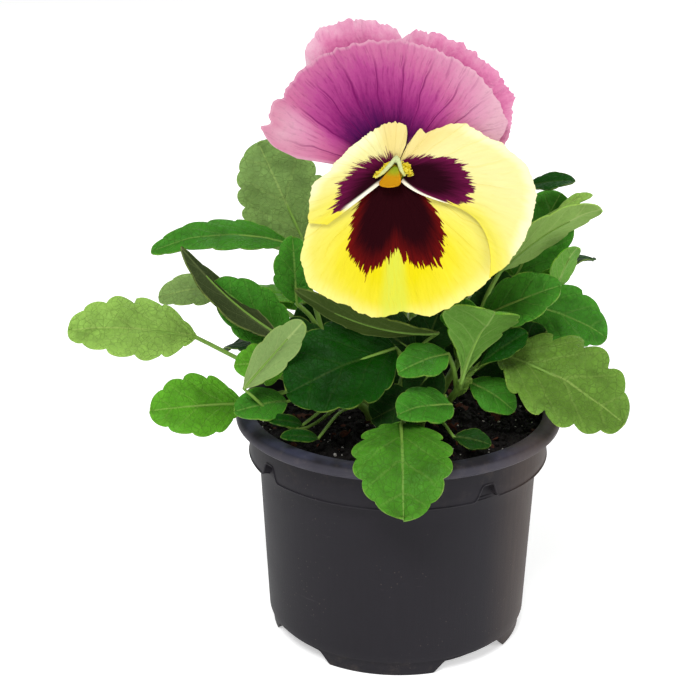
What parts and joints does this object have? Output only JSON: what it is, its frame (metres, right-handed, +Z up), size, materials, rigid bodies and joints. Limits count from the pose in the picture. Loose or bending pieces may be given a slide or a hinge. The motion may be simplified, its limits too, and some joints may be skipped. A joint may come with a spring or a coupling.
{
  "type": "potted pansy",
  "caption": "Pansy in bloom with mauve and yellow petals and scalloped green leaves, growing in soil in a tapered black plastic nursery pot with a rolled lip.",
  "frame": {"origin": "centre of the pot's underside, on the plane that the pot stands on", "axes": "+Z up along the pot's axis, -Y towards the side that the bloom faces, +X to the right of someone who looks at the bloom"},
  "size_m": [0.172, 0.1346, 0.2007],
  "materials": {
    "pot_plastic": "satin black",
    "potting_soil": "rough crumbs with pale perlite",
    "foliage": "soft sheen, veined",
    "calyx_green": "soft sheen",
    "petal_pale_yellow": "velvety, dark maroon blotch",
    "petal_deep_yellow": "velvety, dark maroon blotch",
    "petal_mauve": "velvety, darker veins",
    "throat_orange": "matte",
    "stigma_green": "soft sheen"
  },
  "bodies": {
    "root": {"pot": "pot_plastic", "soil": "potting_soil", "leafy_stem_left_low": "foliage", "leafy_stem_left_high": "foliage", "leafy_stem_back_left": "foliage", "leafy_stem_front": "foliage", "leafy_stem_front_low": "foliage", "leafy_stem_right_low": "foliage", "leafy_stem_right_high": "foliage", "leafy_stem_back_right": "foliage", "leafy_stem_back": "foliage", "flower_stalk": "calyx_green", "petal_left_yellow": "petal_pale_yellow", "petal_right_yellow": "petal_pale_yellow", "petal_lower_yellow": "petal_deep_yellow", "petal_upper_front": "petal_mauve", "petal_upper_back": "petal_mauve", "throat": "throat_orange", "stigma": "stigma_green"}
  },
  "joints": []
}
